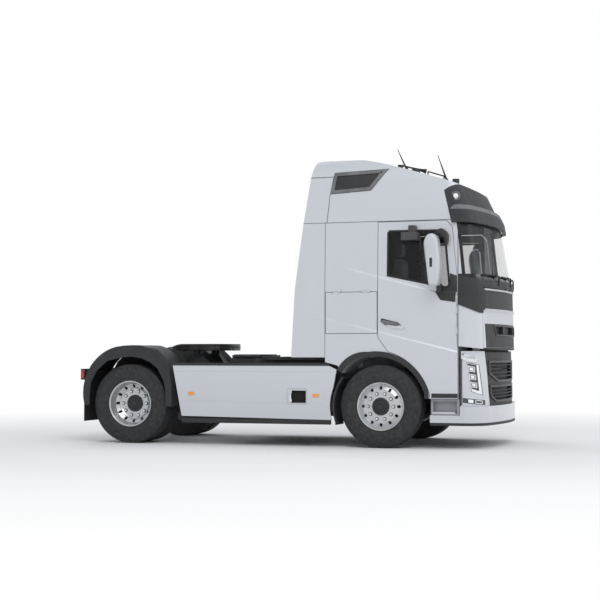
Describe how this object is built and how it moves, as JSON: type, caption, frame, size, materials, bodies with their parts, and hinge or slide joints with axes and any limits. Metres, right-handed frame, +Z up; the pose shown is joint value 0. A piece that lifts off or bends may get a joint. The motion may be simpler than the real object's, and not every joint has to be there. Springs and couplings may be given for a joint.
{
  "type": "semi truck tractor unit",
  "caption": "Cab-over tractor unit with high sleeper cab, side skirts, steered front wheels, driven twin rear wheels and a tilting fifth-wheel coupling plate.",
  "frame": {"origin": "on the ground, in the middle of the vehicle's length and width", "axes": "+X forward, +Y to the vehicle's left, +Z up"},
  "size_m": [5.72, 3.14, 3.8669],
  "materials": {
    "paint": "satin",
    "dark_plastic": "matte",
    "glass": "clear",
    "interior_plastic": "matte",
    "fabric": "woven",
    "chrome": "polished",
    "mirror_case": "gloss",
    "frame_paint": "satin",
    "lens": "clear",
    "cast_steel": "rough",
    "engine_steel": "rough",
    "radiator_metal": "matte",
    "tank_metal": "satin",
    "flap_rubber": "matte",
    "lamp_red": "gloss",
    "lamp_amber": "gloss",
    "tread_plate": "satin",
    "tyre": "matte",
    "rim_steel": "satin"
  },
  "bodies": {
    "chassis": {"chassis_frame": "frame_paint", "front_bumper": "dark_plastic", "corner_panels": "paint", "lower_grille": "dark_plastic", "headlamps": "lens", "entry_steps": "dark_plastic", "front_axle": "cast_steel", "suspension": "cast_steel", "rear_axle": "cast_steel", "engine_block": "engine_steel", "radiator": "radiator_metal", "driveline": "engine_steel", "side_skirts": "paint", "skirt_strips": "dark_plastic", "fuel_tanks": "tank_metal", "front_mudguards": "dark_plastic", "rear_mudguards": "dark_plastic", "mud_flaps": "flap_rubber", "rear_lamps": "lamp_red", "side_markers": "lamp_amber", "rear_deck": "tread_plate", "fifth_wheel_base": "cast_steel"},
    "cab": {"cab_shell": "paint", "high_roof": "paint", "side_deflectors": "paint", "roof_vents": "dark_plastic", "windscreen": "glass", "sun_visor": "dark_plastic", "roof_front_panel": "dark_plastic", "arch_trims": "dark_plastic", "scuttle_panel": "dark_plastic", "dashboard": "interior_plastic", "steering_wheel": "interior_plastic", "seat_bases": "interior_plastic", "seat_cushions": "fabric", "bunk": "fabric", "bunk_base": "interior_plastic", "roof_fittings": "dark_plastic"},
    "lid": {"front_lid": "dark_plastic", "upper_grille": "dark_plastic", "lid_strips": "chrome"},
    "door_left_body": {"door_left": "paint", "door_glass_left": "glass", "mirror_left": "mirror_case"},
    "locker_left_body": {"locker_left": "paint"},
    "knuckle_left_body": {"knuckle_left": "cast_steel"},
    "front_wheel_left": {"front_tyre_left": "tyre", "front_rim_left": "rim_steel"},
    "rear_wheels_left": {"rear_tyres_left": "tyre", "rear_rims_left": "rim_steel"},
    "door_right_body": {"door_right": "paint", "door_glass_right": "glass", "mirror_right": "mirror_case"},
    "locker_right_body": {"locker_right": "paint"},
    "knuckle_right_body": {"knuckle_right": "cast_steel"},
    "front_wheel_right": {"front_tyre_right": "tyre", "front_rim_right": "rim_steel"},
    "rear_wheels_right": {"rear_tyres_right": "tyre", "rear_rims_right": "rim_steel"},
    "coupling_plate": {"fifth_wheel_plate": "cast_steel"}
  },
  "joints": [
    {"name": "cab_tilt", "type": "hinge", "parent": "chassis", "child": "cab", "pos_m": [2.68, 0, 1.15], "axis": [0, 1, 0], "range_deg": [0, 60]},
    {"name": "lid_hinge", "type": "hinge", "parent": "cab", "child": "lid", "pos_m": [2.83448, 0, 2.0465], "axis": [0, -1, 0], "range_deg": [0, 75]},
    {"name": "door_left_hinge", "type": "hinge", "parent": "cab", "child": "door_left_body", "pos_m": [2.39654, 1.247, 1.5], "axis": [0, 0, -1], "range_deg": [0, 75]},
    {"name": "locker_left_hinge", "type": "hinge", "parent": "cab", "child": "locker_left_body", "pos_m": [1, 1.247, 2.00154], "axis": [1, 0, 0], "range_deg": [0, 80]},
    {"name": "steer_left", "type": "hinge", "parent": "chassis", "child": "knuckle_left_body", "pos_m": [1.39, 1, 0.532], "axis": [0, 0, 1], "range_deg": [-38, 38]},
    {"name": "front_wheel_left_spin", "type": "hinge", "parent": "knuckle_left_body", "child": "front_wheel_left", "pos_m": [1.39, 1.0625, 0.532], "axis": [0, 1, 0], "continuous": true},
    {"name": "rear_wheels_left_spin", "type": "hinge", "parent": "chassis", "child": "rear_wheels_left", "pos_m": [-2.11, 0.89, 0.532], "axis": [0, 1, 0], "continuous": true},
    {"name": "door_right_hinge", "type": "hinge", "parent": "cab", "child": "door_right_body", "pos_m": [2.39654, -1.247, 1.5], "axis": [0, 0, 1], "range_deg": [0, 75]},
    {"name": "locker_right_hinge", "type": "hinge", "parent": "cab", "child": "locker_right_body", "pos_m": [1, -1.247, 2.00154], "axis": [-1, 0, 0], "range_deg": [0, 80]},
    {"name": "steer_right", "type": "hinge", "parent": "chassis", "child": "knuckle_right_body", "pos_m": [1.39, -1, 0.532], "axis": [0, 0, 1], "range_deg": [-38, 38]},
    {"name": "front_wheel_right_spin", "type": "hinge", "parent": "knuckle_right_body", "child": "front_wheel_right", "pos_m": [1.39, -1.0625, 0.532], "axis": [0, 1, 0], "continuous": true},
    {"name": "rear_wheels_right_spin", "type": "hinge", "parent": "chassis", "child": "rear_wheels_right", "pos_m": [-2.11, -0.89, 0.532], "axis": [0, 1, 0], "continuous": true},
    {"name": "coupling_pitch", "type": "hinge", "parent": "chassis", "child": "coupling_plate", "pos_m": [-1.47, 0, 1.2393], "axis": [0, 1, 0], "range_deg": [-15, 15]}
  ],
  "couplings": [
    {"joint": "steer_right", "follows": "steer_left", "ratio": 1}
  ]
}
